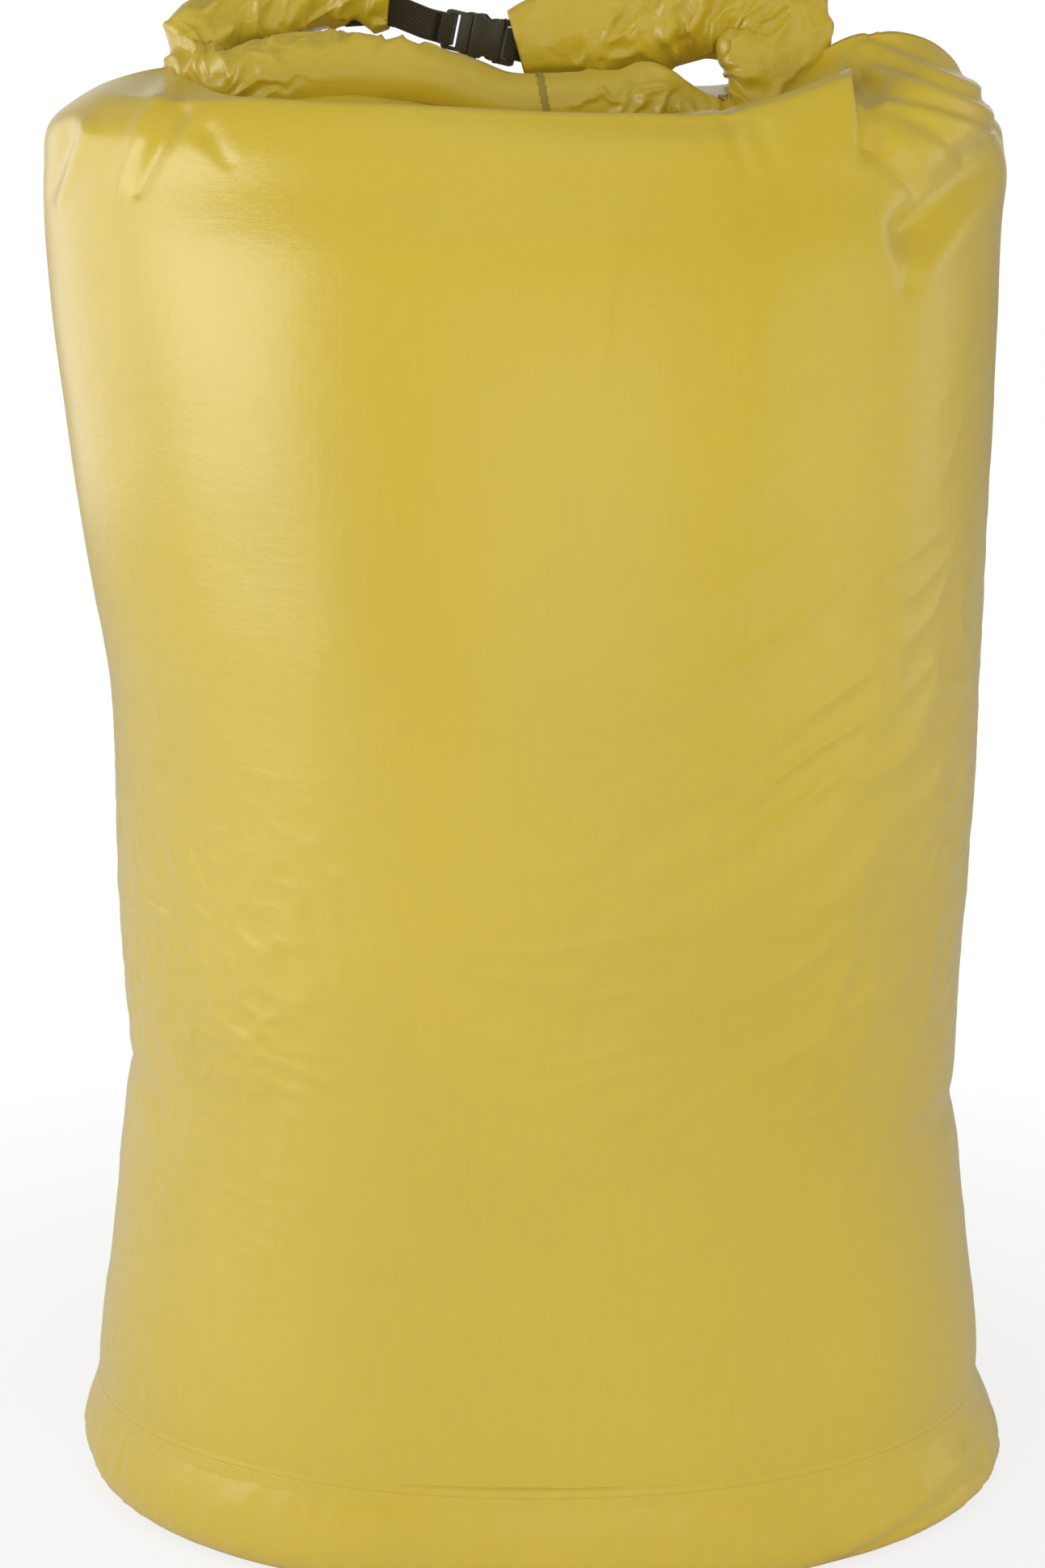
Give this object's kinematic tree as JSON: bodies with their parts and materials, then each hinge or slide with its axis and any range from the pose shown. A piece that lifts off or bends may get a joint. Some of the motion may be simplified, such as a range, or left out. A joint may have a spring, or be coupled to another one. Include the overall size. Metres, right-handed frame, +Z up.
{
  "type": "roll-top compression sack",
  "caption": "Tall oval coated-fabric sack standing on its base, its mouth rolled down and bent into a carry loop closed by a small side-release buckle.",
  "frame": {"origin": "on the floor under the middle of the sack", "axes": "+Z up, -Y to the front, +X to the right as seen from the front"},
  "size_m": [0.4017, 0.3366, 0.6458],
  "materials": {
    "coated_fabric": "urethane-coated ripstop, soft gloss",
    "seam_fabric": "folded coated fabric, satin",
    "seam_tape": "translucent tape, satin",
    "thread": "matte thread",
    "dark_thread": "matte thread",
    "webbing": "woven nylon, matte",
    "stiffener": "satin",
    "buckle": "moulded acetal, satin"
  },
  "bodies": {
    "sack": {"body_panel": "coated_fabric", "base_panel": "coated_fabric", "base_seam": "seam_fabric", "back_seam": "seam_fabric", "base_seam_tape": "seam_tape", "back_seam_tape": "seam_tape", "base_stitching": "thread", "back_stitching": "thread"},
    "top": {"top_panel": "coated_fabric", "top_seam": "seam_fabric"},
    "carry_loop": {"roll_front": "coated_fabric", "roll_left_arm": "coated_fabric", "roll_right_arm": "coated_fabric", "mouth_hem": "seam_fabric", "mouth_stiffener": "stiffener", "left_webbing": "webbing", "right_webbing": "webbing", "right_webbing_loop": "webbing", "right_bartack": "dark_thread", "buckle_housing": "buckle"},
    "buckle_male": {"buckle_frame": "buckle", "left_webbing_loop": "webbing", "left_bartack": "dark_thread"},
    "upper_prong": {"upper_prong": "buckle"},
    "lower_prong": {"lower_prong": "buckle"}
  },
  "joints": [
    {"name": "sack_compress", "type": "slide", "parent": "sack", "child": "top", "axis": [0, 0, 1], "range_m": [-0.07, 0], "stiffness_N_per_m": 2000, "springref_m": 0.002, "deforming": ["body_panel", "back_seam", "back_seam_tape", "back_stitching"]},
    {"name": "loop_tilt", "type": "hinge", "parent": "top", "child": "carry_loop", "pos_m": [0, -0.032, 0.585], "axis": [1, 0, 0], "range_deg": [-12, 40]},
    {"name": "buckle_pull", "type": "slide", "parent": "carry_loop", "child": "buckle_male", "axis": [-0.9379, 0.2778, 0.2079], "range_m": [0, 0.012], "deforming": ["left_webbing"]},
    {"name": "upper_prong_squeeze", "type": "hinge", "parent": "buckle_male", "child": "upper_prong", "pos_m": [-0.02517, -0.00454, 0.61562], "axis": [0.284, 0.9588, 0], "range_deg": [0, 18]},
    {"name": "lower_prong_squeeze", "type": "hinge", "parent": "buckle_male", "child": "lower_prong", "pos_m": [-0.02733, -0.0039, 0.60505], "axis": [-0.284, -0.9588, 0], "range_deg": [0, 18]}
  ],
  "couplings": [
    {"joint": "upper_prong_squeeze", "follows": "buckle_pull", "rad_per_m": 26.1},
    {"joint": "lower_prong_squeeze", "follows": "buckle_pull", "rad_per_m": 26.1}
  ]
}
